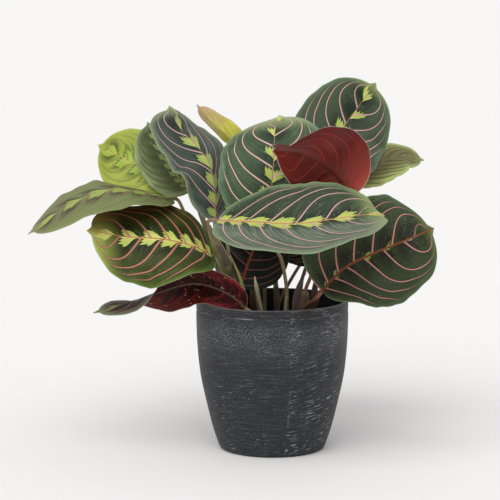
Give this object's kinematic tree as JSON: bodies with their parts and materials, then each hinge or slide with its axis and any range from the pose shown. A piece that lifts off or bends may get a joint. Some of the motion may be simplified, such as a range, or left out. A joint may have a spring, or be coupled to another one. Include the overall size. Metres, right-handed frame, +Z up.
{
  "type": "potted prayer plant",
  "caption": "Young prayer plant with broad red-veined, lime-centred leaves on slender sheathed stems, growing from soil in a dark brushed round pot.",
  "frame": {"origin": "centre of the pot's underside, on the surface it stands on", "axes": "+Z up, front of the plant toward -Y, +X to its right"},
  "size_m": [0.3142, 0.249, 0.2919],
  "materials": {
    "pot": "charcoal, dry-brushed with light grey streaks",
    "soil": "moist dark potting mix with bark and perlite",
    "stem": "satin living stem, olive beige with purple tint",
    "leaf_green": "soft satin leaf, dark green fields, pink veins, lime centre",
    "leaf_bluegreen": "soft satin leaf with a bluish bloom, pink veins, lime centre",
    "leaf_olive": "soft satin leaf, greyish olive with brown stripes",
    "leaf_lime": "young translucent yellow-green leaf",
    "leaf_underside": "satin burgundy leaf underside"
  },
  "bodies": {
    "root": {"pot": "pot", "soil": "soil", "shoot_front_left": "stem", "shoot_rim": "stem", "shoot_rolled": "stem", "shoot_low_centre": "stem", "shoot_back_left": "stem", "shoot_centre": "stem", "shoot_young": "stem", "shoot_right": "stem", "shoot_top_right": "stem", "shoot_right_back": "stem", "shoot_back": "stem", "shoot_back_side": "stem", "leaf_front": "leaf_bluegreen", "leaf_right_low": "leaf_green", "leaf_top_right": "leaf_green", "leaf_red_underside": "leaf_underside", "leaf_centre": "leaf_green", "leaf_left_upright": "leaf_bluegreen", "leaf_left_middle": "leaf_green", "leaf_far_left": "leaf_olive", "leaf_lime": "leaf_lime", "leaf_dull_green": "leaf_olive", "leaf_young_yellow": "leaf_lime", "leaf_right_back": "leaf_olive", "leaf_over_rim": "leaf_underside", "leaf_low_centre": "leaf_green", "leaf_low_back": "leaf_green", "leaf_back_left": "leaf_green", "leaf_back_right": "leaf_green", "leaf_back_centre": "leaf_green", "leaf_back_low": "leaf_green"}
  },
  "joints": []
}
